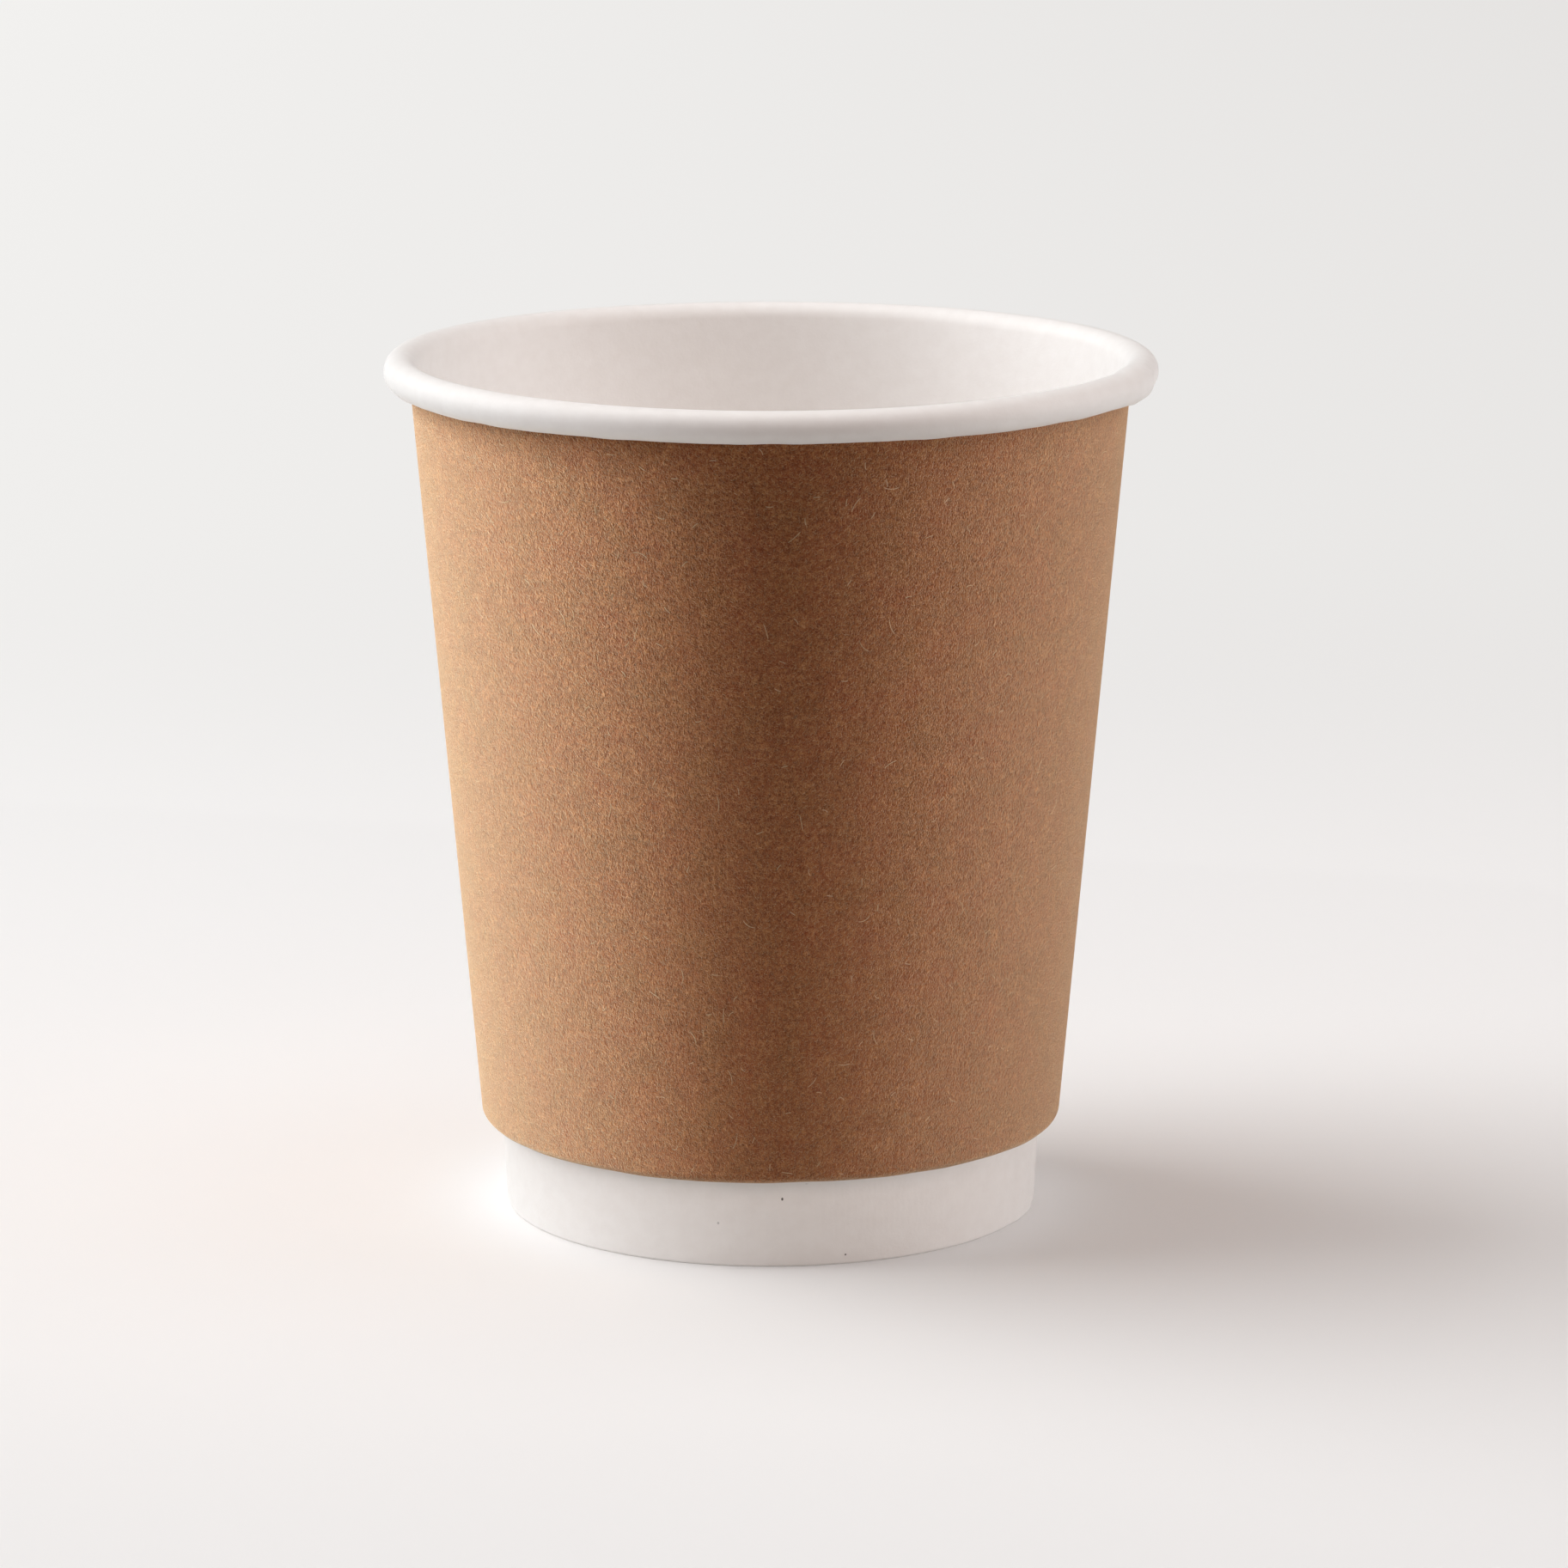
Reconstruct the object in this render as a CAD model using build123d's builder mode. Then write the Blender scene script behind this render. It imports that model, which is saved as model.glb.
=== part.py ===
"""Double-wall paper coffee cup: a white inner cup of two sealed blanks inside a brown kraft sleeve.

Millimetres, +Z up. The origin is the centre of the ring that the cup stands on, and -Y is the front.
Each blank is drawn as the section of one sheet of board and turned about the cup's axis.
"""

import os
from math import asin, atan2, cos, degrees, hypot, radians, sin, tan

from build123d import *

# Inner cup
rim_diameter = 80.0  # outside of the rolled rim, the size that lids are made to
cup_height = 90.0
base_diameter = 55.5  # outside of the foot, at the table
wall_board = 0.3  # coated white cup board
bead_diameter = 3.5  # the rolled rim, as a tube
bead_turn = 312.0  # degrees that the rim is rolled through
foot_height = 7.5  # below this the pressed foot is steeper than the wall
foot_flare = 0.4  # how much wider the foot is at its top than at the table
foot_blend = 12.0  # radius of the bend from foot to wall
hem_height = 5.6  # top of the folded-in edge
fold_radius = 0.36  # outside bends of the hem's fold, which is creased sharp inside

# Bottom of the inner cup
disc_board = 0.3
disc_height = 6.8  # top face of the disc
disc_corner = 0.8  # bend from disc to skirt

# Kraft sleeve
sleeve_board = 0.3
sleeve_foot_height = 9.4  # lowest point of the curled edge
sleeve_tuck = 0.15  # how far the upper edge rises behind the rim's lowest point
air_gap = 1.65  # between wall and sleeve, at the sleeve's foot
curl_turn = 225.0  # degrees that the lower edge is curled through

# Seams
seal_gap = 0.03  # glue or coating between two faces that are stuck together
seam_step = 0.16  # what a lap adds, since it is pressed thinner than a whole sheet
seam_lap = 5.5  # overlap of the two ends of a blank, along the foot
seam_ramp = 2.0  # length over which the upper layer climbs onto the lower one
cup_seam_angle = -11.0  # where the upper layer ends, in degrees from +X
sleeve_seam_angle = 90.0

base_radius = base_diameter / 2
bead_radius = bead_diameter / 2
lap_angle = degrees(seam_lap / base_radius)
ramp_angle = degrees(seam_ramp / base_radius)


def section_plane(angle):
    """Upright half plane through the cup's axis: local X is the radius and local Y the height."""
    turn = radians(angle)
    return Plane(origin=(0, 0, 0), x_dir=(cos(turn), sin(turn), 0), z_dir=(sin(turn), -cos(turn), 0))


def left_of(point, heading, distance):
    """The point at a distance to the left of another, for a heading in radians."""
    return (point[0] - distance * sin(heading), point[1] + distance * cos(heading))


def tangent_heading(start, centre, radius):
    """Heading of the line from start that just touches a circle on its right."""
    across, up = centre[0] - start[0], centre[1] - start[1]
    return atan2(up, across) + asin(radius / hypot(across, up))


def mitred(run, depth):
    """A run of lines moved to its right by a depth, with its corners mitred."""
    headings = [atan2(end[1] - start[1], end[0] - start[0]) for start, end in zip(run, run[1:])]
    moved = []
    for point, arriving, leaving in zip(run, headings[:1] + headings, headings + headings[-1:]):
        moved.append(left_of(point, (arriving + leaving) / 2, -depth / cos((leaving - arriving) / 2)))
    return moved


def turn_lapped(seam_angle, single, double, upper):
    """A blank that is wrapped once round the axis and lapped on itself at its seam.

    single, double and upper draw the section of one layer, of the lap, and of the lap's upper layer.
    """
    lap_start = seam_angle - lap_angle
    ramp_start = lap_start - ramp_angle
    revolve(double(section_plane(lap_start)), Axis.Z, lap_angle)
    revolve(single(section_plane(seam_angle)), Axis.Z, 360 - lap_angle - ramp_angle)
    loft([single(section_plane(ramp_start)), upper(section_plane(lap_start))], ruled=True)


# Lines that the pieces share: the wall's inner face, from the table to where it meets the rolled rim
def foot_face_radius(height):
    """Radius of the wall's inner face within the foot."""
    return base_radius - wall_board + foot_flare * height / foot_height


bead_centre = (rim_diameter / 2 - bead_radius, cup_height - bead_radius)
wall_start = (foot_face_radius(foot_height), foot_height)
wall_heading = tangent_heading(wall_start, bead_centre, bead_radius)
wall_end = left_of(bead_centre, wall_heading, bead_radius)
wall_lean = radians(90) - wall_heading


def wall_outside_radius(height):
    """Radius of the wall's outer face, between the foot and the rim."""
    return wall_start[0] + (height - foot_height) * tan(wall_lean) + wall_board / cos(wall_lean)


# Inner cup's wall: hem, fold, foot, wall and rolled rim are one sheet
def wall_face(lap, depth, fold):
    """One face of the wall's sheet, at a depth behind the face that meets the drink; gives its two ends."""
    floor = wall_board + lap
    hem_inset = disc_board + seal_gap + seal_gap
    run = [
        (foot_face_radius(hem_height) - hem_inset, hem_height),
        (foot_face_radius(floor) - hem_inset, floor),
        (foot_face_radius(floor), floor),
        wall_start,
        wall_end,
    ]
    side = FilletPolyline(*mitred(run, depth), radius=[fold, fold, foot_blend - depth])
    roll_radius = bead_radius + lap
    roll_centre = left_of(wall_end, wall_heading, -roll_radius)
    roll = CenterArc(roll_centre, roll_radius - depth, 90 + degrees(wall_heading), -bead_turn)
    return side @ 0, roll @ 1


def wall_section(plane, lap, skipped):
    """Section of the wall where a lap adds to its thickness, less the skipped layer next to the drink."""
    with BuildSketch(plane) as section:
        with BuildLine():
            near_hem, near_roll = wall_face(lap, skipped, 0)
            far_hem, far_roll = wall_face(lap, wall_board + lap, fold_radius)
            Line(near_hem, far_hem)
            Line(near_roll, far_roll)
        make_face()
    return section.sketch


with BuildPart() as cup_wall:
    turn_lapped(
        cup_seam_angle,
        single=lambda plane: wall_section(plane, 0, 0),
        double=lambda plane: wall_section(plane, seam_step, 0),
        upper=lambda plane: wall_section(plane, seam_step, seam_step),
    )

# Bottom of the inner cup: a disc whose edge is turned down into the hem
with BuildPart() as base_disc:
    with BuildSketch(Plane.XZ):
        with BuildLine():
            skirt_end = wall_board + seam_step + seal_gap
            run = [
                (0, disc_height),
                (foot_face_radius(disc_height) - seal_gap, disc_height),
                (foot_face_radius(skirt_end) - seal_gap, skirt_end),
            ]
            top = FilletPolyline(*run, radius=disc_corner)
            underside = FilletPolyline(*mitred(run, disc_board), radius=disc_corner - disc_board)
            Line(top @ 0, underside @ 0)
            Line(top @ 1, underside @ 1)
        make_face()
    revolve(axis=Axis.Z)

# Kraft sleeve: the upper edge lies on the wall's seam, behind the rim, and the lower edge curls in to the wall
curl_radius = (air_gap + sleeve_board - seam_step - seal_gap) / 2
curl_height = sleeve_foot_height + curl_radius
curl_reach = (curl_radius + seam_step + seal_gap) / cos(wall_lean)
curl_centre = (wall_outside_radius(curl_height) + curl_reach, curl_height)
curl_inside = curl_radius - sleeve_board
sleeve_top_height = cup_height - bead_diameter + sleeve_tuck
sleeve_top_radius = wall_outside_radius(sleeve_top_height) + (seam_step + seal_gap) / cos(wall_lean)
sleeve_top = (sleeve_top_radius, sleeve_top_height)
sleeve_heading = tangent_heading(sleeve_top, curl_centre, curl_inside)


def sleeve_face(depth):
    """One face of the sleeve's sheet, at a depth outside the face next to the wall; gives its two ends."""
    curl_start = left_of(curl_centre, sleeve_heading, curl_inside + depth)
    side = Line(left_of(sleeve_top, sleeve_heading, depth), curl_start)
    curl = CenterArc(curl_centre, curl_inside + depth, 90 + degrees(sleeve_heading), -curl_turn)
    return side @ 0, curl @ 1


def sleeve_section(plane, lap, skipped):
    """Section of the sleeve where a lap adds to its thickness, less the skipped layer next to the wall."""
    with BuildSketch(plane) as section:
        with BuildLine():
            near_top, near_curl = sleeve_face(skipped)
            far_top, far_curl = sleeve_face(sleeve_board + lap)
            Line(near_top, far_top)
            Line(near_curl, far_curl)
        make_face()
    return section.sketch


with BuildPart() as kraft_sleeve:
    turn_lapped(
        sleeve_seam_angle,
        single=lambda plane: sleeve_section(plane, 0, 0),
        double=lambda plane: sleeve_section(plane, seam_step, 0),
        upper=lambda plane: sleeve_section(plane, seam_step, seam_step),
    )

cup_wall.part.label = "cup_wall"
base_disc.part.label = "base_disc"
kraft_sleeve.part.label = "kraft_sleeve"

os.makedirs("parts", exist_ok=True)
export_step(cup_wall.part, "parts/cup_wall.step")
export_step(base_disc.part, "parts/base_disc.step")
export_step(kraft_sleeve.part, "parts/kraft_sleeve.step")
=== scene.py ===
"""Double-wall paper coffee cup: white inner cup, kraft sleeve, on a pale paper sweep in side light."""

import math

import bmesh
import bpy
import numpy as np
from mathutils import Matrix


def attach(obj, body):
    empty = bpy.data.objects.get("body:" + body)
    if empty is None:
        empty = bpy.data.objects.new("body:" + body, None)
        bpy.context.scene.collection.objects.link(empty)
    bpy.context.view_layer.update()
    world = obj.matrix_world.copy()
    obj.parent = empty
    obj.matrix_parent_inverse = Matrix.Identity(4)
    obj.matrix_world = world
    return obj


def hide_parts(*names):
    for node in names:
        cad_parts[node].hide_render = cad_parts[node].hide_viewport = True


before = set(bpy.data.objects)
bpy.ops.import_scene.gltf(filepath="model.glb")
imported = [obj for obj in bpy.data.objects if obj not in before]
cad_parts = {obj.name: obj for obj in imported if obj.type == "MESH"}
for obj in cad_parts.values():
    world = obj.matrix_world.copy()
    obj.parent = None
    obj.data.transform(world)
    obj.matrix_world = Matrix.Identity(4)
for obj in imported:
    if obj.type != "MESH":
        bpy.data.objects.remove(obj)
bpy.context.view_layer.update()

# Inner cup wall: one fan of white coated cup board, wrapped to a cone and heat-sealed to itself along a
# lapped side seam. Its upper edge is rolled outward into the rim, and its lower edge is folded in round
# the bottom's skirt, as the hem that the cup stands on. Sizes are in millimetres.
millimetre = 0.001
rim_radius, cup_height = 40.0, 90.0
bead_radius, bead_turn = 1.75, math.radians(312.0)
foot_radius, foot_height, foot_flare, foot_blend = 27.75, 7.5, 0.4, 12.0
wall_board, disc_board, seal_gap = 0.3, 0.3, 0.03
hem_height, fold_radius, crease_radius = 5.6, 0.36, 0.02
seam_step, lap_length, ramp_length, cut_length = 0.16, 5.5, 2.0, 1.6
plain_cut_share = 0.16
cup_seam = math.radians(-11.0)
bend_steps, climb_steps, roll_steps, seam_steps, columns_round = 5, 40, 44, 8, 300
crisp_edge = math.radians(38.0)


def left_of(point, heading, distance):
    """The point at a distance to the left of another, for a heading in the section."""
    return np.array([point[0] - distance * math.sin(heading), point[1] + distance * math.cos(heading)])


def tangent_heading(start, centre, radius):
    """Heading of the line from start that just touches a circle on its right."""
    across, up = centre[0] - start[0], centre[1] - start[1]
    return math.atan2(up, across) + math.asin(radius / math.hypot(across, up))


def arc(centre, radius, start, sweep, steps):
    """Points along an arc of the section."""
    turn = start + sweep * np.linspace(0.0, 1.0, steps + 1)
    return np.stack([centre[0] + radius * np.cos(turn), centre[1] + radius * np.sin(turn)], axis=1)


def mitred(run, depth):
    """A run of lines moved to its right by a depth, with its corners mitred."""
    headings = [math.atan2(b[1] - a[1], b[0] - a[0]) for a, b in zip(run, run[1:])]
    ends = zip(run, headings[:1] + headings, headings + headings[-1:])
    return [left_of(p, (a + b) / 2, -depth / math.cos((b - a) / 2)) for p, a, b in ends]


def rounded(run, radii, steps):
    """Points along a run of lines whose corners are bent to those radii."""
    points = [run[0]]
    for before, corner, after, radius in zip(run, run[1:], run[2:], radii):
        back = (before - corner) / np.linalg.norm(before - corner)
        ahead = (after - corner) / np.linalg.norm(after - corner)
        half = math.acos(np.clip(back @ ahead, -1.0, 1.0)) / 2
        centre = corner + (back + ahead) / np.linalg.norm(back + ahead) * radius / math.sin(half)
        first = corner + back * radius / math.tan(half) - centre
        last = corner + ahead * radius / math.tan(half) - centre
        start = math.atan2(first[1], first[0])
        sweep = (math.atan2(last[1], last[0]) - start + math.pi) % (2 * math.pi) - math.pi
        points.extend(arc(centre, radius, start, sweep, steps))
    points.append(run[-1])
    return points


def foot_face(height):
    """Radius of the wall's inner face within the foot."""
    return foot_radius - wall_board + foot_flare * height / foot_height


bead_centre = np.array([rim_radius - bead_radius, cup_height - bead_radius])
wall_start = np.array([foot_face(foot_height), foot_height])
wall_heading = tangent_heading(wall_start, bead_centre, bead_radius)
wall_end = left_of(bead_centre, wall_heading, bead_radius)
wall_lean = math.pi / 2 - wall_heading


def wall_face(lap, depth, fold):
    """One face of the wall's sheet, from the hem's edge up the wall to the roll's free edge."""
    floor = wall_board + lap
    hem_inset = disc_board + 2 * seal_gap
    run = [
        np.array([foot_face(hem_height) - hem_inset, hem_height]),
        np.array([foot_face(floor) - hem_inset, floor]),
        np.array([foot_face(floor), floor]),
        wall_start,
        wall_end,
    ]
    side = rounded(mitred(run, depth), [fold, fold, foot_blend - depth], bend_steps)
    climb = np.linspace(side[-2], side[-1], climb_steps + 1)
    roll_radius = bead_radius + lap
    roll_centre = left_of(wall_end, wall_heading, -roll_radius)
    roll = arc(roll_centre, roll_radius - depth, wall_heading + math.pi / 2, -bead_turn, roll_steps)
    return np.concatenate([np.array(side[:-2]), climb, roll[1:]])


def wall_loop(lap, skipped):
    """The wall's whole section as a closed loop: up its inner face and back along its outer face."""
    near = wall_face(lap, skipped, crease_radius)
    far = wall_face(lap, wall_board + lap, fold_radius)
    return np.concatenate([near, far[::-1]])


def eased_between(value, low, high):
    """0 below low, 1 above high, and a smooth rise between."""
    share = np.clip((value - low) / (high - low), 0.0, 1.0)
    return share * share * (3 - 2 * share)


def lapped_columns(seam, single, double, upper, slope):
    """Angles and sections round a blank that is lapped on itself: one layer, the climb, then two layers.

    slope is how much of the cut's length each row takes, at both ends of the lap, to step between one layer
    and two.
    """
    lap, ramp, cut = lap_length / foot_radius, ramp_length / foot_radius, cut_length / foot_radius
    around = np.linspace(seam, seam + 2 * math.pi - lap - ramp, columns_round)
    columns = [(angle, single) for angle in around]
    steps = np.linspace(0.0, 1.0, seam_steps + 1)
    for share in steps[1:]:
        climbed = eased_between(share, 0.0, 1.0)
        columns.append((around[-1] + share * ramp, single + (upper - single) * climbed))
    for share in steps:
        under = 1 - eased_between(share, 0.0, slope)[:, None]
        columns.append((around[-1] + ramp + share * cut, double + (upper - double) * under))
    for share in steps[:-1]:
        over = 1 - eased_between(share, 1 - slope, 1.0)[:, None]
        columns.append((around[-1] + ramp + lap - cut + share * cut, single + (double - single) * over))
    return columns


def ripple(angle, waves):
    """A slow unevenness round the cup, as a sum of waves (count, height, phase)."""
    return sum(height * np.sin(count * angle + phase) for count, height, phase in waves)


def board_mesh(name, angles, radii, heights, slant, cone_lean):
    """Quad mesh of a wrapped sheet, with a map that lays its fan-shaped blank out flat in millimetres.

    Columns follow the angles round the cup. Rows follow the section, at slant from the middle of the fan.
    """
    count, rows = radii.shape
    turn = angles[:, None]
    places = np.stack([radii * np.cos(turn), radii * np.sin(turn), heights], axis=2) * millimetre
    corners = [(i, j) for i in range(count) for j in range(rows)]
    faces = []
    for i, j in corners:
        after, above = (i + 1) % count, (j + 1) % rows
        faces.append((i * rows + j, after * rows + j, after * rows + above, i * rows + above))
    mesh = bpy.data.meshes.new(name)
    mesh.from_pydata(places.reshape(-1, 3).tolist(), [], faces)
    spread = (np.append(angles, angles[-1]) - (angles[0] + angles[-1]) / 2) * math.sin(cone_lean)
    flat_u = slant[None, :] * np.sin(spread[:, None])
    flat_v = slant[None, :] * np.cos(spread[:, None])
    blank = mesh.uv_layers.new(name="blank")
    flat = []
    for i, j in corners:
        above = j + 1 if j + 1 < rows else j
        for ci, cj in ((i, j), (i + 1, j), (i + 1, above), (i, above)):
            flat.extend((flat_u[ci, cj], flat_v[ci, cj]))
    blank.data.foreach_set("uv", flat)
    work = bmesh.new()
    work.from_mesh(mesh)
    same_place = 1e-4 * millimetre
    bmesh.ops.remove_doubles(work, verts=work.verts, dist=same_place)
    bmesh.ops.dissolve_degenerate(work, edges=work.edges, dist=same_place)
    bmesh.ops.recalc_face_normals(work, faces=work.faces)
    work.to_mesh(mesh)
    work.free()
    mesh.shade_smooth()
    mesh.set_sharp_from_angle(angle=crisp_edge)
    piece = bpy.data.objects.new(name, mesh)
    bpy.context.collection.objects.link(piece)
    return piece


def along_sheet(face):
    """Distance along a face from its first point."""
    return np.concatenate([[0.0], np.cumsum(np.linalg.norm(np.diff(face, axis=0), axis=1))])


below_roll = np.zeros(len(wall_face(0.0, 0.0, crease_radius)) - roll_steps)
along_roll = np.concatenate([below_roll, np.linspace(0.0, 1.0, roll_steps + 1)[1:]])
along_roll = np.concatenate([along_roll, along_roll[::-1]])
wall_columns = lapped_columns(
    cup_seam,
    wall_loop(0.0, 0.0),
    wall_loop(seam_step, 0.0),
    wall_loop(seam_step, seam_step),
    plain_cut_share + (1 - plain_cut_share) * eased_between(along_roll, 0.0, 0.12),
)
wall_angles = np.array([angle for angle, _ in wall_columns])
wall_sections = np.array([section for _, section in wall_columns])
wall_radii, wall_heights = wall_sections[:, :, 0].copy(), wall_sections[:, :, 1].copy()
# The rolled rim isn't quite level or round: it dips at front and back and waves a little.
rim_dip, rim_inset, roll_inner_radius = 0.24, 0.12, 37.3
near_rim = eased_between(wall_heights, 52.0, 88.0)
front_and_back = 0.5 * (1 + np.cos(2 * (wall_angles - math.pi / 2)))
up_the_roll = 1 - eased_between(along_roll, 0.30, 0.80)
wall_heights -= rim_dip * front_and_back[:, None] * near_rim * up_the_roll
rim_waves = (
    (2, 0.05, 0.6),
    (3, 0.04, 2.1),
    (5, 0.025, 0.9),
    (11, 0.014, 1.7),
    (19, 0.012, 0.3),
    (31, 0.008, 2.6),
)
wall_radii += (ripple(wall_angles, rim_waves) - rim_inset)[:, None] * near_rim
roll_waves = ((9, 0.02, 1.1), (23, 0.02, 0.2), (37, 0.016, 2.9), (52, 0.012, 1.4))
roll_low = eased_between(-wall_heights, -88.4, -86.6) * (wall_radii > roll_inner_radius)
wall_heights += ripple(wall_angles, roll_waves)[:, None] * roll_low
wall_near = along_sheet(wall_face(0.0, 0.0, crease_radius))
wall_far = along_sheet(wall_face(0.0, wall_board, fold_radius))
wall_slant = np.concatenate([wall_near, wall_far[::-1] * wall_near[-1] / wall_far[-1]]) - hem_height
wall_slant += foot_radius / math.sin(wall_lean)
cup_wall = board_mesh("inner_cup_wall", wall_angles, wall_radii, wall_heights, wall_slant, wall_lean)


def add_node(tree, kind, **settings):
    """A new node with those settings."""
    made = tree.nodes.new(kind)
    for setting, value in settings.items():
        setattr(made, setting, value)
    return made


def feed(tree, socket, value):
    """Gives an input a number, a colour or another node's output."""
    if isinstance(value, bpy.types.NodeSocket):
        tree.links.new(value, socket)
    else:
        socket.default_value = value


def maths(tree, operation, *values):
    """The output of a Math node."""
    made = add_node(tree, "ShaderNodeMath", operation=operation)
    for socket, value in zip(made.inputs, values):
        feed(tree, socket, value)
    return made.outputs[0]


def vector_maths(tree, operation, *values):
    """The output of a Vector Math node, which is a number for a length."""
    made = add_node(tree, "ShaderNodeVectorMath", operation=operation)
    sockets = [made.inputs[0], made.inputs["Scale"]] if operation == "SCALE" else made.inputs
    for socket, value in zip(sockets, values):
        feed(tree, socket, value)
    return made.outputs["Value" if operation == "LENGTH" else "Vector"]


def noise(tree, places, scale, detail=2.0, roughness=0.5):
    """A noise field from 0 to 1, with about scale features to the millimetre."""
    made = add_node(tree, "ShaderNodeTexNoise", noise_dimensions="3D")
    feed(tree, made.inputs["Vector"], places)
    feed(tree, made.inputs["Scale"], scale)
    feed(tree, made.inputs["Detail"], detail)
    feed(tree, made.inputs["Roughness"], roughness)
    return made.outputs["Fac"]


def fit(tree, value, low, high, new_low, new_high, smooth=False):
    """A value moved from one range to another and kept inside it."""
    made = add_node(tree, "ShaderNodeMapRange", interpolation_type="SMOOTHSTEP" if smooth else "LINEAR")
    for socket, number in zip(made.inputs, (value, low, high, new_low, new_high)):
        feed(tree, socket, number)
    return made.outputs["Result"]


def blend_colours(tree, factor, first, second, way="MIX"):
    """Two colours mixed by a factor."""
    made = add_node(tree, "ShaderNodeMix", data_type="RGBA", blend_type=way)
    colours = [socket for socket in made.inputs if socket.type == "RGBA"]
    feed(tree, made.inputs[0], factor)
    feed(tree, colours[0], first)
    feed(tree, colours[1], second)
    return next(socket for socket in made.outputs if socket.type == "RGBA")


def new_finish(name):
    """A material with its node tree, its shader and the places on its blank."""
    finish = bpy.data.materials.new(name)
    finish.use_nodes = True
    tree = finish.node_tree
    shader = next(node for node in tree.nodes if node.type == "BSDF_PRINCIPLED")
    places = add_node(tree, "ShaderNodeUVMap", uv_map="blank").outputs["UV"]
    return finish, tree, shader, places


def uneven_surface(tree, shader, height, depth):
    """Bump of a given depth in metres on a shader."""
    bump = add_node(tree, "ShaderNodeBump")
    bump.inputs["Strength"].default_value = 1.0
    bump.inputs["Distance"].default_value = depth
    feed(tree, bump.inputs["Height"], height)
    feed(tree, shader.inputs["Normal"], bump.outputs["Normal"])


dull_white, bright_white = (0.790, 0.766, 0.744, 1.0), (0.812, 0.792, 0.772, 1.0)
# The grey for the lap's edge line is partly the raw board and partly painted shade along the lap's step.
speck_brown, raw_edge_shade_grey = (0.030, 0.026, 0.024, 1.0), (0.60, 0.57, 0.54, 1.0)
white_board, tree, shader, places = new_finish("white_coated_board")
on_cup = add_node(tree, "ShaderNodeTexCoord").outputs["Object"]
spot = add_node(tree, "ShaderNodeSeparateXYZ")
feed(tree, spot.inputs["Vector"], on_cup)
mottling = noise(tree, places, 0.55, 3.0, 0.6)
felt_marks = noise(tree, places, 3.2, 2.0, 0.6)
white = blend_colours(tree, fit(tree, mottling, 0.35, 0.65, 0.0, 1.0), dull_white, bright_white)
# Bark specks on the foot: degrees round from the front, height, width, length and darkness.
bark_specks = (
    (2.5, 7.3, 0.13, 0.20, 0.95),
    (16.0, 1.06, 0.12, 0.12, 0.9),
    (-10.9, 4.6, 0.14, 0.16, 0.4),
    (7.5, 8.9, 0.25, 0.12, 0.25),
)
for angle, height, width, length, darkness in bark_specks:
    turn = math.radians(angle)
    radius = (foot_radius + foot_flare * min(height / foot_height, 1.0)) * millimetre
    middle = (radius * math.sin(turn), -radius * math.cos(turn), height * millimetre)
    offset = vector_maths(tree, "SUBTRACT", on_cup, middle)
    spread = (1 / (width * millimetre), 1 / (width * millimetre), 1 / (length * millimetre))
    shaped = vector_maths(tree, "MULTIPLY", offset, spread)
    mark = fit(tree, vector_maths(tree, "LENGTH", shaped), 0.5, 1.1, darkness, 0.0, smooth=True)
    white = blend_colours(tree, mark, white, speck_brown)
# The raw edge of the lap, together with painted shade along the lap's step, shows as a thin grey line on
# the foot, below the sleeve.
edge_offset, edge_core, edge_reach = 0.15 / foot_radius, 0.06 / foot_radius, 0.17 / foot_radius
foot_skin = 27.7 * millimetre
around = maths(tree, "ARCTAN2", spot.outputs["Y"], spot.outputs["X"])
from_seam = maths(tree, "ABSOLUTE", maths(tree, "SUBTRACT", around, cup_seam - edge_offset))
from_axis = vector_maths(tree, "LENGTH", vector_maths(tree, "MULTIPLY", on_cup, (1.0, 1.0, 0.0)))
below_sleeve = fit(tree, spot.outputs["Z"], 8.0 * millimetre, 10.0 * millimetre, 1.0, 0.0, smooth=True)
raw_edge_and_shade = fit(tree, from_seam, edge_core, edge_reach, 0.8, 0.0, smooth=True)
raw_edge_and_shade = maths(tree, "MULTIPLY", raw_edge_and_shade, below_sleeve)
raw_edge_and_shade = maths(tree, "MULTIPLY", raw_edge_and_shade, maths(tree, "GREATER_THAN", from_axis, foot_skin))
white = blend_colours(tree, raw_edge_and_shade, white, raw_edge_shade_grey)
feed(tree, shader.inputs["Base Color"], white)
feed(tree, shader.inputs["Roughness"], fit(tree, felt_marks, 0.3, 0.7, 0.48, 0.60))
shader.inputs["Specular IOR Level"].default_value = 0.35
# The press leaves fine upright ridges on the foot, between the fold and the sleeve.
ridge_count = 260.0
wander = fit(tree, noise(tree, places, 0.35), 0.0, 1.0, -5.0, 5.0)
ridges = maths(tree, "SINE", maths(tree, "ADD", maths(tree, "MULTIPLY", around, ridge_count), wander))
above_fold = fit(tree, spot.outputs["Z"], 1.5 * millimetre, 4.0 * millimetre, 0.0, 1.0, smooth=True)
press_marks = maths(tree, "MULTIPLY", ridges, maths(tree, "MULTIPLY", above_fold, below_sleeve))
surface = maths(tree, "ADD", felt_marks, maths(tree, "MULTIPLY", mottling, 2.0))
surface = maths(tree, "ADD", surface, maths(tree, "MULTIPLY", press_marks, 0.12))
uneven_surface(tree, shader, surface, 0.012 * millimetre)
cup_wall.data.materials.append(white_board)
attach(cup_wall, "root")
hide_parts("cup_wall")

# Cup bottom: a round blank of the same white board, with its edge turned down into a skirt. The skirt is
# gripped and sealed between the wall and its hem, which leaves the disc raised above the table.
disc_height, disc_corner = 6.8, 0.8
dish, dish_radius = 0.16, 25.0
disc_columns, flat_steps, corner_steps = 192, 24, 8
skirt_end = wall_board + seam_step + seal_gap
disc_run = [
    np.array([0.0, disc_height]),
    np.array([foot_face(disc_height) - seal_gap, disc_height]),
    np.array([foot_face(skirt_end) - seal_gap, skirt_end]),
]


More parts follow.
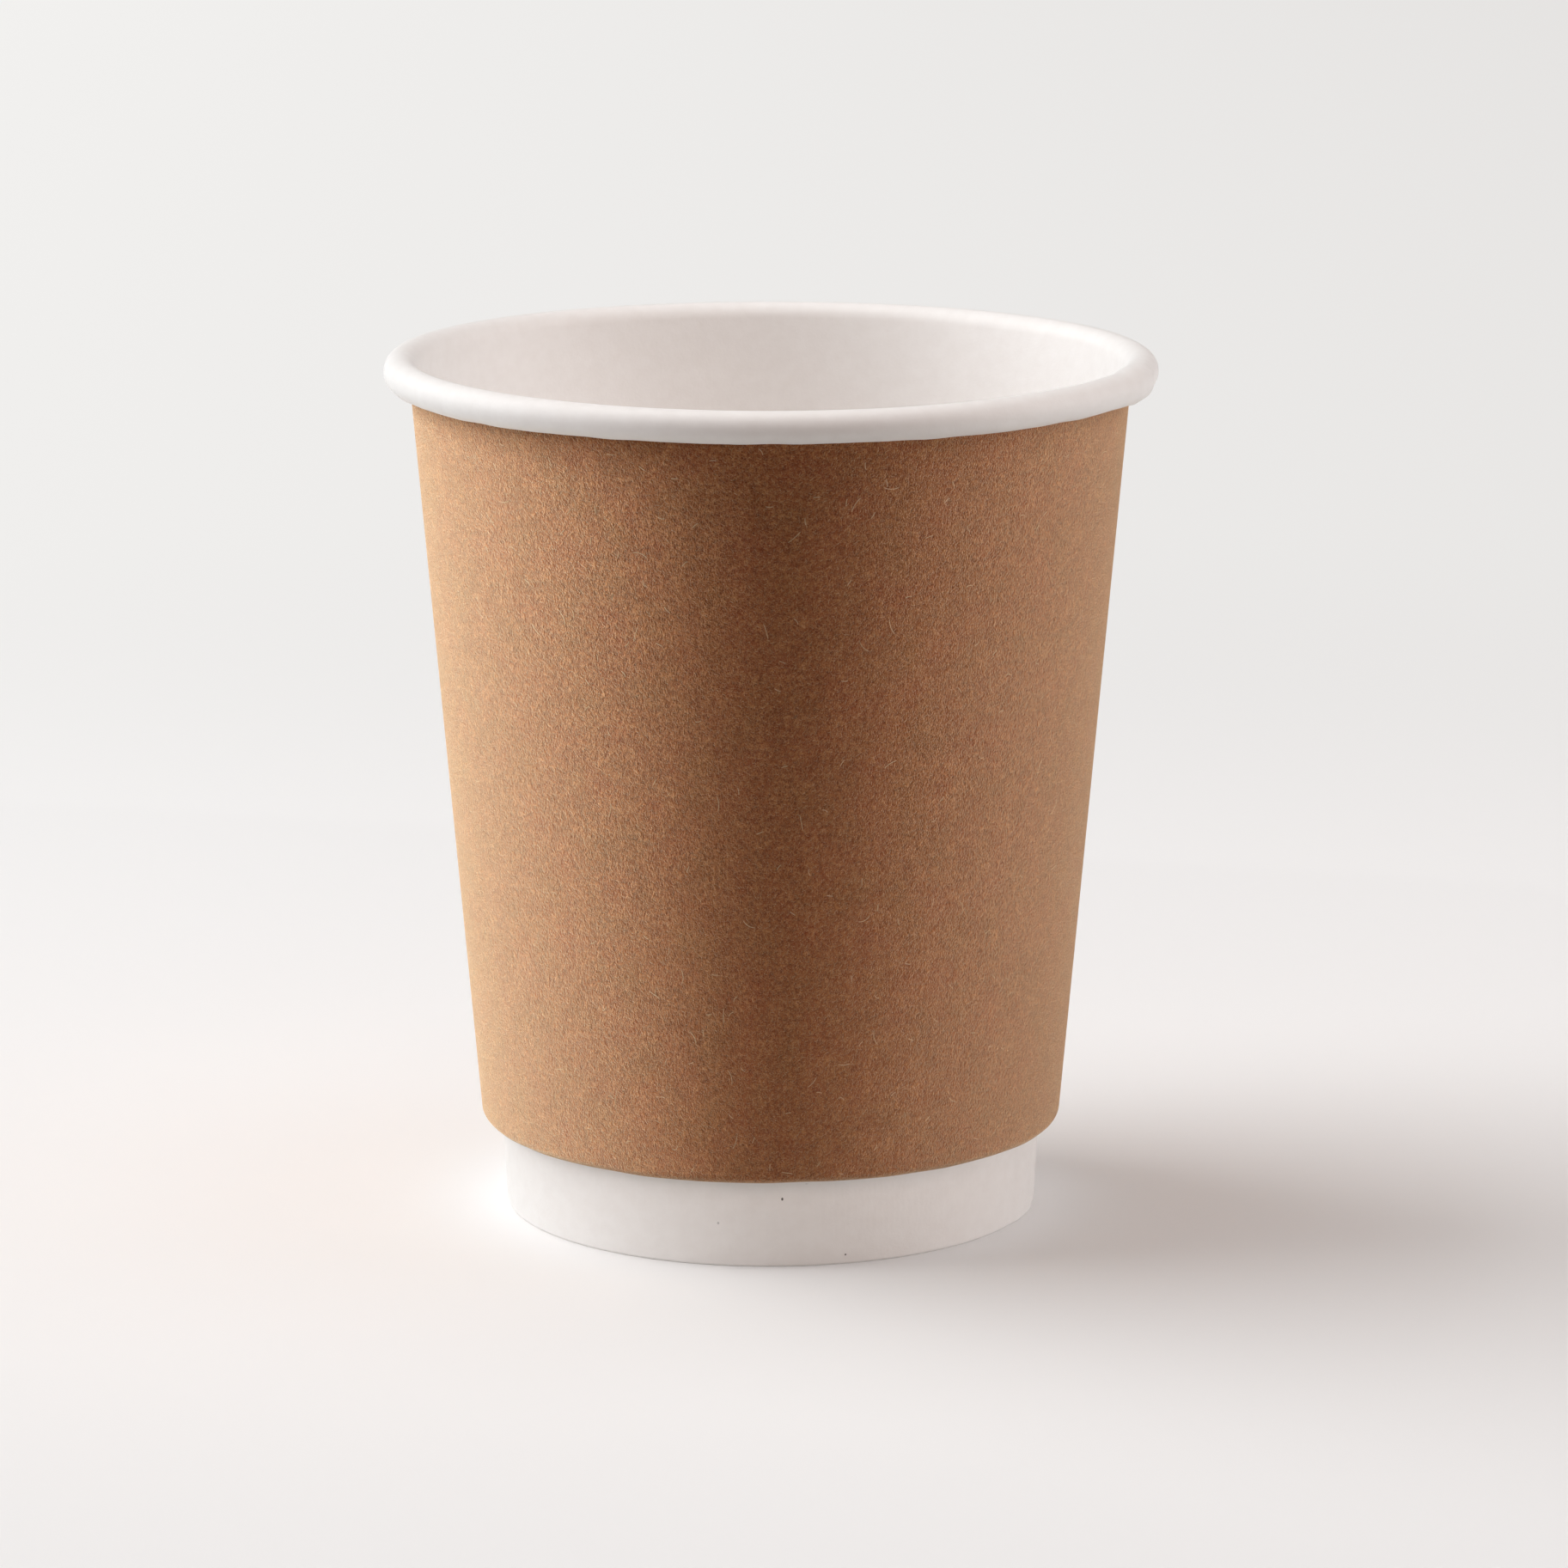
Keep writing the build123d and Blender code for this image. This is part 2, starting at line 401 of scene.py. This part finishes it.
def disc_face(depth):
    """One face of the bottom's sheet, from its middle over the bend to the skirt's edge."""
    run = rounded(mitred(disc_run, depth), [disc_corner - depth], corner_steps)
    flat = np.linspace(run[0], run[1], flat_steps)[1:]
    return np.concatenate([flat, np.array(run[2:])])


disc_section = np.concatenate([disc_face(0.0), disc_face(disc_board)[::-1]])
disc_angles = np.linspace(0.0, 2 * math.pi, disc_columns + 1)[:-1]
disc_places = np.stack(
    [
        disc_section[None, :, 0] * np.cos(disc_angles)[:, None],
        disc_section[None, :, 0] * np.sin(disc_angles)[:, None],
        np.broadcast_to(disc_section[None, :, 1], (disc_columns, len(disc_section))),
    ],
    axis=2,
)
from_middle = np.clip(disc_section[:, 0] / dish_radius, 0.0, 1.0)
disc_places[:, :, 2] -= dish * 0.5 * (1 + np.cos(from_middle * math.pi))[None, :]
base_disc = bpy.data.objects.new("cup_bottom", bpy.data.meshes.new("cup_bottom"))
bpy.context.collection.objects.link(base_disc)
work = bmesh.new()
rows = len(disc_section)
verts = [[work.verts.new(place * millimetre) for place in column] for column in disc_places]
top_middle = work.verts.new((0.0, 0.0, (disc_height - dish) * millimetre))
low_middle = work.verts.new((0.0, 0.0, (disc_height - dish - disc_board) * millimetre))
for i in range(disc_columns):
    after = (i + 1) % disc_columns
    for j in range(rows - 1):
        work.faces.new((verts[i][j], verts[after][j], verts[after][j + 1], verts[i][j + 1]))
    work.faces.new((verts[i][0], verts[after][0], top_middle))
    work.faces.new((verts[after][-1], verts[i][-1], low_middle))
bmesh.ops.recalc_face_normals(work, faces=work.faces)
blank = work.loops.layers.uv.new("blank")
for face in work.faces:
    for loop in face.loops:
        loop[blank].uv = (loop.vert.co.x / millimetre, loop.vert.co.y / millimetre)
work.to_mesh(base_disc.data)
work.free()
base_disc.data.shade_smooth()
base_disc.data.set_sharp_from_angle(angle=crisp_edge)
base_disc.data.materials.append(white_board)
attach(base_disc, "root")
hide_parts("base_disc")

# Kraft sleeve: one fan of uncoated brown kraft board, wrapped round the inner cup and glued along a lap at
# the back. Its upper edge is tucked behind the rim, and its lower edge is curled inward against the wall,
# which keeps an air gap between the two walls.
sleeve_board, sleeve_foot, sleeve_tuck, air_gap = 0.3, 9.4, 0.15, 1.65
curl_turn = math.radians(225.0)
sleeve_seam = math.radians(90.0)
side_steps, curl_steps = 60, 26


def wall_outside(height):
    """Radius of the inner cup's outer face, between the foot and the rim."""
    return wall_start[0] + (height - foot_height) * math.tan(wall_lean) + wall_board / math.cos(wall_lean)


curl_radius = (air_gap + sleeve_board - seam_step - seal_gap) / 2
curl_height = sleeve_foot + curl_radius
curl_reach = (curl_radius + seam_step + seal_gap) / math.cos(wall_lean)
curl_centre = np.array([wall_outside(curl_height) + curl_reach, curl_height])
curl_inside = curl_radius - sleeve_board
sleeve_top = cup_height - 2 * bead_radius + sleeve_tuck
sleeve_reach = (seam_step + seal_gap) / math.cos(wall_lean)
sleeve_edge = np.array([wall_outside(sleeve_top) + sleeve_reach, sleeve_top])
sleeve_heading = tangent_heading(sleeve_edge, curl_centre, curl_inside)


def sleeve_face(depth):
    """One face of the sleeve's sheet, from its upper edge down and round the curl."""
    curl = arc(curl_centre, curl_inside + depth, sleeve_heading + math.pi / 2, -curl_turn, curl_steps)
    side = np.linspace(left_of(sleeve_edge, sleeve_heading, depth), curl[0], side_steps + 1)
    return np.concatenate([side, curl[1:]])


def sleeve_loop(lap, skipped):
    """The sleeve's whole section as a closed loop: down its inner face and back up its outer face."""
    return np.concatenate([sleeve_face(skipped), sleeve_face(sleeve_board + lap)[::-1]])


sleeve_columns = lapped_columns(
    sleeve_seam,
    sleeve_loop(0.0, 0.0),
    sleeve_loop(seam_step, 0.0),
    sleeve_loop(seam_step, seam_step),
    np.full(2 * len(sleeve_face(0.0)), plain_cut_share),
)
sleeve_angles = np.array([angle for angle, _ in sleeve_columns])
sleeve_sections = np.array([section for _, section in sleeve_columns])
sleeve_radii, sleeve_heights = sleeve_sections[:, :, 0].copy(), sleeve_sections[:, :, 1].copy()
foot_waves = ((4, 0.04, 0.3), (9, 0.025, 2.2), (17, 0.02, 1.0), (29, 0.014, 0.4))
near_curl = eased_between(-sleeve_heights, -16.0, -10.0)
sleeve_heights += ripple(sleeve_angles, foot_waves)[:, None] * near_curl
sleeve_lean = math.pi / 2 + sleeve_heading
sleeve_slant = sleeve_edge[0] / math.sin(sleeve_lean) - along_sheet(sleeve_face(sleeve_board))
kraft_sleeve = board_mesh(
    "kraft_sleeve_sheet",
    sleeve_angles,
    sleeve_radii,
    sleeve_heights,
    np.concatenate([sleeve_slant, sleeve_slant[::-1]]),
    sleeve_lean,
)

earth_brown, red_brown = (0.166, 0.032, 0.001, 1.0), (0.195, 0.022, 0.0, 1.0)
pale_fuzz, bark_brown = (0.50, 0.218, 0.084, 1.0), (0.07, 0.035, 0.018, 1.0)
short_fibre, stray_fibre = (0.66, 0.40, 0.21, 1.0), (0.70, 0.46, 0.27, 1.0)
kraft, tree, shader, places = new_finish("brown_kraft_board")


def fibres(tree, places, cell, length, width, chance, seed, curl):
    """Loose fibres on the board's face, one at most in each square cell, all lengths in millimetres."""
    spread = vector_maths(tree, "SCALE", places, 1.0 / cell)
    turned = add_node(tree, "ShaderNodeVectorRotate", rotation_type="Z_AXIS")
    feed(tree, turned.inputs["Vector"], spread)
    turned.inputs["Angle"].default_value = 0.7 * seed
    moved = vector_maths(tree, "ADD", turned.outputs["Vector"], (13.7 * seed, 7.3 * seed, 0.0))
    chances = add_node(tree, "ShaderNodeTexWhiteNoise", noise_dimensions="3D")
    feed(tree, chances.inputs["Vector"], vector_maths(tree, "FLOOR", moved))
    random = add_node(tree, "ShaderNodeSeparateColor")
    feed(tree, random.inputs["Color"], chances.outputs["Color"])
    inside = vector_maths(tree, "SUBTRACT", vector_maths(tree, "FRACTION", moved), (0.5, 0.5, 0.0))
    play = 1.0 - min(length / cell, 0.9)
    shift = add_node(tree, "ShaderNodeCombineXYZ")
    feed(tree, shift.inputs["X"], fit(tree, random.outputs["Red"], 0.0, 1.0, -play / 2, play / 2))
    feed(tree, shift.inputs["Y"], fit(tree, random.outputs["Green"], 0.0, 1.0, -play / 2, play / 2))
    laid = add_node(tree, "ShaderNodeVectorRotate", rotation_type="Z_AXIS")
    feed(tree, laid.inputs["Vector"], vector_maths(tree, "SUBTRACT", inside, shift.outputs["Vector"]))
    feed(tree, laid.inputs["Angle"], maths(tree, "MULTIPLY", random.outputs["Blue"], 2 * math.pi))
    across = add_node(tree, "ShaderNodeSeparateXYZ")
    feed(tree, across.inputs["Vector"], laid.outputs["Vector"])
    bow = fit(tree, random.outputs["Green"], 0.0, 1.0, -curl, curl)
    bowed = maths(tree, "MULTIPLY", maths(tree, "MULTIPLY", across.outputs["X"], across.outputs["X"]), bow)
    off_line = maths(tree, "ABSOLUTE", maths(tree, "ADD", across.outputs["Y"], bowed))
    half_width, half_length = 0.5 * width / cell, 0.5 * length / cell
    thin = fit(tree, off_line, half_width * 0.4, half_width * 1.6, 1.0, 0.0, smooth=True)
    reach = maths(tree, "ABSOLUTE", across.outputs["X"])
    ends = fit(tree, reach, half_length * 0.6, half_length, 1.0, 0.0, smooth=True)
    there = maths(tree, "LESS_THAN", chances.outputs["Value"], chance)
    return maths(tree, "MULTIPLY", maths(tree, "MULTIPLY", thin, ends), there)


def strands(tree, places, turn, width, length):
    """A net of fine fibres that lie about one way: 1 along their middles, and 0 between them."""
    turned = add_node(tree, "ShaderNodeVectorRotate", rotation_type="Z_AXIS")
    feed(tree, turned.inputs["Vector"], places)
    turned.inputs["Angle"].default_value = turn
    drawn = vector_maths(tree, "MULTIPLY", turned.outputs["Vector"], (1.0 / width, 1.0 / length, 1.0))
    apart = vector_maths(tree, "ADD", drawn, (31.0 * turn, 17.0 * turn, 43.0 * turn))
    field = noise(tree, apart, 1.0, 1.0)
    return fit(tree, maths(tree, "ABSOLUTE", maths(tree, "SUBTRACT", field, 0.5)), 0.0, 0.09, 1.0, 0.0)


def added(tree, *values):
    """The sum of several values."""
    total = values[0]
    for value in values[1:]:
        total = maths(tree, "ADD", total, value)
    return total


clouds = noise(tree, places, 0.09)
flocs = noise(tree, places, 0.45)
tints = noise(tree, places, 0.2)
specks = noise(tree, places, 1.7, 2.0, 0.6)
grain = noise(tree, vector_maths(tree, "MULTIPLY", places, (6.4, 5.4, 1.0)), 1.0, 2.0, 0.75)
net = added(
    tree,
    strands(tree, places, 0.12, 0.26, 0.95),
    strands(tree, places, -0.42, 0.29, 0.90),
    strands(tree, places, 0.95, 0.31, 0.90),
    strands(tree, places, -1.25, 0.33, 1.00),
)
stray = maths(
    tree,
    "MAXIMUM",
    fibres(tree, places, 3.4, 0.9, 0.08, 0.32, 5, 2.4),
    fibres(tree, places, 6.4, 1.9, 0.08, 0.28, 6, 2.6),
)
brown = blend_colours(tree, fit(tree, tints, 0.30, 0.70, 0.0, 1.0), earth_brown, red_brown)
tone = added(
    tree,
    fit(tree, clouds, 0.25, 0.75, 0.84, 0.96),
    fit(tree, specks, 0.2, 0.8, -0.24, 0.24),
    fit(tree, grain, 0.2, 0.8, -0.30, 0.30),
)
brown = blend_colours(tree, 1.0, brown, tone, way="MULTIPLY")
clumps = maths(
    tree,
    "MULTIPLY",
    fit(tree, specks, 0.25, 0.75, 0.50, 1.50),
    fit(tree, flocs, 0.25, 0.75, 0.70, 1.30),
)
fuzz = added(tree, fit(tree, net, 0.45, 2.35, 0.0, 0.36), fit(tree, grain, 0.36, 0.70, 0.0, 0.40))
brown = blend_colours(tree, maths(tree, "MULTIPLY", fuzz, clumps), brown, pale_fuzz)
short = maths(
    tree,
    "MAXIMUM",
    fibres(tree, places, 0.62, 0.50, 0.07, 0.75, 8, 1.2),
    fibres(tree, places, 0.85, 0.64, 0.07, 0.75, 9, 1.4),
)
brown = blend_colours(tree, maths(tree, "MULTIPLY", short, 0.15), brown, short_fibre)
brown = blend_colours(tree, maths(tree, "MULTIPLY", stray, 0.62), brown, stray_fibre)
dark_bits = fibres(tree, places, 2.6, 0.40, 0.12, 0.40, 7, 0.5)
brown = blend_colours(tree, maths(tree, "MULTIPLY", dark_bits, 0.5), brown, bark_brown)
feed(tree, shader.inputs["Base Color"], brown)
feed(tree, shader.inputs["Roughness"], fit(tree, grain, 0.2, 0.8, 0.7, 0.85))
shader.inputs["Specular IOR Level"].default_value = 0.05
shader.inputs["Sheen Weight"].default_value = 0.8
shader.inputs["Sheen Roughness"].default_value = 0.5
shader.inputs["Sheen Tint"].default_value = (1.0, 0.91, 0.64, 1.0)
height = added(
    tree,
    grain,
    maths(tree, "MULTIPLY", net, 0.25),
    stray,
    maths(tree, "MULTIPLY", specks, 0.8),
    maths(tree, "MULTIPLY", short, 0.3),
)
uneven_surface(tree, shader, height, 0.11 * millimetre)
kraft_sleeve.data.materials.append(kraft)
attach(kraft_sleeve, "root")
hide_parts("kraft_sleeve")

# Table: a wide sheet of matt white background paper that the cup stands on, and not part of the cup. It
# looks white from everywhere, but in front of the cup it sends almost no light back to it, as past a
# table's edge. Far from the cup it fades to a glowing backdrop with painted light falloff, lighter on the
# left and darker on the right. Sizes are in metres.
sweep = bpy.data.objects.new("table_sheet", bpy.data.meshes.new("table_sheet"))
bpy.context.collection.objects.link(sweep)
reach = 6.0
dark_from, dark_until = -0.165, -0.125
fade_start, fade_end = 0.13, 0.42
backdrop_reach = 0.22
seen_white = (0.872, 0.858, 0.850, 1.0)
sent_white, sent_dark = (0.90, 0.88, 0.86, 1.0), (0.05, 0.05, 0.05, 1.0)
# The backdrop's two colours are painted light: lighter on the left and darker on the right, as light falls
# off from the left.
backdrop_painted_lit_left, backdrop_painted_shade_right = (0.885, 0.875, 0.86, 1.0), (0.79, 0.775, 0.762, 1.0)
sweep.data.from_pydata(
    [(-reach, -reach, 0.0), (reach, -reach, 0.0), (reach, reach, 0.0), (-reach, reach, 0.0)],
    [],
    [(0, 1, 2, 3)],
)
matt_paper = bpy.data.materials.new("matt_table_paper")
matt_paper.use_nodes = True
tree = matt_paper.node_tree
shader = next(node for node in tree.nodes if node.type == "BSDF_PRINCIPLED")
spot = add_node(tree, "ShaderNodeSeparateXYZ")
position = add_node(tree, "ShaderNodeNewGeometry").outputs["Position"]
feed(tree, spot.inputs["Vector"], position)
ray = add_node(tree, "ShaderNodeLightPath")
shows = maths(tree, "MAXIMUM", ray.outputs["Is Camera Ray"], ray.outputs["Is Glossy Ray"])
shows = maths(tree, "MAXIMUM", shows, ray.outputs["Is Transmission Ray"])
behind_edge = fit(tree, spot.outputs["Y"], dark_from, dark_until, 0.0, 1.0, smooth=True)
paper_white = blend_colours(tree, maths(tree, "MAXIMUM", shows, behind_edge), sent_dark, sent_white)
paper_white = blend_colours(tree, shows, paper_white, seen_white)
far_off = fit(tree, vector_maths(tree, "LENGTH", position), fade_start, fade_end, 0.0, 1.0, smooth=True)
seen_far = maths(tree, "MULTIPLY", far_off, shows)
feed(tree, shader.inputs["Base Color"], blend_colours(tree, seen_far, paper_white, (0.0, 0.0, 0.0, 1.0)))
# The far backdrop glows with painted light falloff, from lighter on the left to darker on the right.
to_right = fit(tree, spot.outputs["X"], -backdrop_reach, backdrop_reach, 0.0, 1.0)
backdrop = blend_colours(tree, to_right, backdrop_painted_lit_left, backdrop_painted_shade_right)
feed(tree, shader.inputs["Emission Color"], backdrop)
feed(tree, shader.inputs["Emission Strength"], seen_far)
shader.inputs["Roughness"].default_value = 0.9
shader.inputs["Specular IOR Level"].default_value = 0.1
sweep.data.materials.append(matt_paper)

# Light: a tall soft box on the left and a little behind, a weaker one overhead and a shadowless fill on the
# right. Two cards light only the white board, three strips only the kraft and another fill only the table.
# The room itself is dark, and shows as a pale backdrop only where the camera looks past the table.
lamp_distance, aim_height = 1.0, 0.05
room = bpy.data.worlds.new("pale_room")
bpy.context.scene.world = room
room.use_nodes = True
tree = room.node_tree
glow = next(node for node in tree.nodes if node.type == "BACKGROUND")
glow.inputs["Color"].default_value = (0.80, 0.785, 0.77, 1.0)
feed(tree, glow.inputs["Strength"], add_node(tree, "ShaderNodeLightPath").outputs["Is Camera Ray"])


def soft_box(name, bearing, rise, width, height, power, colour):
    """An oblong soft box that looks at the cup from a bearing (0 in front, 90 on the left) and a rise."""
    turn, lift = math.radians(bearing), math.radians(rise)
    lamp = bpy.data.lights.new(name, "AREA")
    lamp.shape = "RECTANGLE"
    lamp.size, lamp.size_y = width, height
    lamp.energy = power
    lamp.color = colour
    holder = bpy.data.objects.new(name, lamp)
    level, above = lamp_distance * math.cos(lift), lamp_distance * math.sin(lift)
    holder.location = (-level * math.sin(turn), -level * math.cos(turn), aim_height + above)
    holder.rotation_euler = (math.pi / 2 - lift, 0.0, -turn)
    bpy.context.collection.objects.link(holder)
    return holder


soft_box("left_box", 102.0, 38.0, 0.9, 1.3, 11.6, (0.96, 0.988, 1.0))
soft_box("top_box", 0.0, 90.0, 0.8, 0.8, 3.32, (1.0, 0.95, 0.92))
right_fill = soft_box("right_fill", -90.0, 20.0, 0.5, 0.7, 5.9, (1.0, 0.955, 0.955))
right_fill.data.use_shadow = False
table_fill = soft_box("table_fill", 0.0, 90.0, 0.8, 0.8, 1.35, (1.0, 0.96, 0.95))
table_fill.data.use_shadow = False
front_card = soft_box("front_card", 0.0, 35.0, 0.8, 0.5, 2.7, (1.0, 0.80, 0.72))
left_card = soft_box("left_card", 70.0, 20.0, 0.4, 0.8, 2.2, (0.87, 0.925, 1.0))
left_strip = soft_box("left_strip", 92.0, 28.0, 0.35, 0.8, 24.3, (0.93, 0.985, 1.0))
right_strip = soft_box("right_strip", -93.0, 28.0, 0.35, 0.8, 8.2, (1.0, 0.93, 0.92))
front_strip = soft_box("front_strip", 0.0, 15.0, 0.5, 0.5, 1.3, (1.0, 0.84, 0.76))
for name, lamps, lit_pieces in (
    ("white_pieces", (front_card, left_card), (cup_wall, base_disc)),
    ("brown_pieces", (left_strip, right_strip, front_strip), (kraft_sleeve,)),
    ("table_pieces", (table_fill,), (sweep,)),
):
    receivers = bpy.data.collections.new(name)
    for piece in lit_pieces:
        receivers.objects.link(piece)
    for lamp in lamps:
        lamp.light_linking.receiver_collection = receivers

# Camera: a long lens across the table from the cup, looking a little down on it. Its place and lens were
# fitted to the rim's ellipse, the sleeve's sides and the foot.
look_down = math.radians(12.13)
lens = bpy.data.cameras.new("long_lens")
lens.sensor_width = 36.0
lens.lens = 155.46
viewer = bpy.data.objects.new("long_lens", lens)
viewer.location = (0.0014, -0.6915, 0.193)
viewer.rotation_euler = (math.pi / 2 - look_down, 0.0, 0.0)
bpy.context.collection.objects.link(viewer)
bpy.context.scene.camera = viewer
bpy.context.scene.view_settings.view_transform = "Standard"
